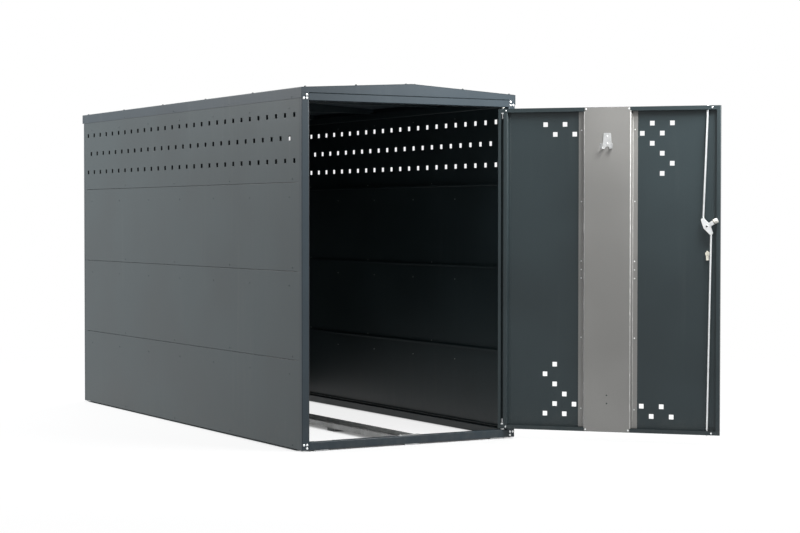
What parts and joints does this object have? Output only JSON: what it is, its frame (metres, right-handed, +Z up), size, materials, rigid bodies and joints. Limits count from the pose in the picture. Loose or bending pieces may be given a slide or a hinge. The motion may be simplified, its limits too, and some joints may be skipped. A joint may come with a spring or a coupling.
{
  "type": "bicycle locker",
  "caption": "Walk-up steel locker for a bicycle: folded frame, cassette walls, gable roof, wheel channel and a door with a rod lock.",
  "frame": {"origin": "on the ground at the middle of the footprint, on the underside of the middle packer", "axes": "+X to the right-hand side as seen from the door, +Y from the door to the rear, +Z up"},
  "size_m": [1.4545, 2.8508, 1.3493],
  "materials": {
    "powder_coat": "fine-texture satin powder coat, anthracite",
    "stiffener_coat": "satin metallic grey powder coat",
    "galvanised": "galvanised sheet",
    "zinc_bright": "bright zinc plated",
    "lock_nickel": "nickel plated brass",
    "handle_black": "black powder-coated die casting",
    "pad_plastic": "black moulded plastic",
    "bush_plastic": "natural moulded plastic",
    "seal_rubber": "matt black rubber"
  },
  "bodies": {
    "root": {"base_pads": "pad_plastic", "front_sill": "powder_coat", "front_header": "powder_coat", "front_post_left": "powder_coat", "front_post_right": "powder_coat", "rear_post_left": "powder_coat", "rear_post_right": "powder_coat", "rear_sill": "powder_coat", "rear_header": "powder_coat", "corner_gussets": "powder_coat", "wheel_channel": "galvanised", "channel_brackets": "galvanised", "frame_screws": "zinc_bright", "panel_rivets": "powder_coat", "roof_sheet_left": "powder_coat", "roof_sheet_right": "powder_coat", "roof_bearers": "powder_coat", "roof_screws": "powder_coat", "gable_front": "powder_coat", "gable_rear": "powder_coat", "hinge_bushes": "bush_plastic", "door_seal": "seal_rubber", "bottom_rail_left": "powder_coat", "top_rail_left": "powder_coat", "left_panel_1": "powder_coat", "left_panel_2": "powder_coat", "left_panel_3": "powder_coat", "left_panel_4": "powder_coat", "bottom_rail_right": "powder_coat", "top_rail_right": "powder_coat", "right_panel_1": "powder_coat", "right_panel_2": "powder_coat", "right_panel_3": "powder_coat", "right_panel_4": "powder_coat", "rear_panel_1": "powder_coat", "rear_panel_2": "powder_coat", "rear_panel_3": "powder_coat", "rear_panel_4": "powder_coat"},
    "door": {"door_skin": "powder_coat", "door_stiffener": "stiffener_coat", "hinge_stile": "powder_coat", "lock_strip": "powder_coat", "door_rivets": "zinc_bright", "helmet_hook": "zinc_bright", "hinge_pins": "zinc_bright", "hinge_blocks": "zinc_bright", "rod_guides": "pad_plastic", "spindle_bush": "bush_plastic", "handle_plate": "handle_black", "cylinder_body": "lock_nickel"},
    "lock": {"lock_spindle": "zinc_bright", "lock_cam": "zinc_bright", "cam_screw": "zinc_bright", "pivot_pins": "zinc_bright", "handle_hub": "handle_black", "handle_lever": "handle_black"},
    "key_plug": {"cylinder_plug": "lock_nickel"},
    "roller": {"cam_roller": "zinc_bright"},
    "rod_up": {"upper_rod": "zinc_bright"},
    "rod_down": {"lower_rod": "zinc_bright"}
  },
  "joints": [
    {"name": "door_swing", "type": "hinge", "parent": "root", "child": "door", "pos_m": [0.409, -1.1015, 0], "axis": [0, 0, 1], "range_deg": [-133, 2]},
    {"name": "handle_turn", "type": "hinge", "parent": "door", "child": "lock", "pos_m": [0.95127, -1.67055, 0.81765], "axis": [-0.7314, -0.682, 0], "range_deg": [-31.8, 58.2]},
    {"name": "key_turn", "type": "hinge", "parent": "door", "child": "key_plug", "pos_m": [0.95127, -1.67055, 0.71605], "axis": [-0.7314, -0.682, 0], "range_deg": [0, 90]},
    {"name": "roller_spin", "type": "hinge", "parent": "lock", "child": "roller", "pos_m": [0.94726, -1.71728, 0.83715], "axis": [0.5796, -0.6216, 0.527], "continuous": true},
    {"name": "upper_rod_pivot", "type": "hinge", "parent": "lock", "child": "rod_up", "pos_m": [0.92329, -1.67647, 0.84145], "axis": [-0.7314, -0.682, 0], "range_deg": [-61.5, 34]},
    {"name": "lower_rod_pivot", "type": "hinge", "parent": "lock", "child": "rod_down", "pos_m": [0.94341, -1.69805, 0.79385], "axis": [-0.7314, -0.682, 0], "range_deg": [-60.5, 33.5]}
  ],
  "couplings": [
    {"joint": "upper_rod_pivot", "follows": "handle_turn", "ratio": -1.041},
    {"joint": "lower_rod_pivot", "follows": "handle_turn", "ratio": -1.023}
  ]
}
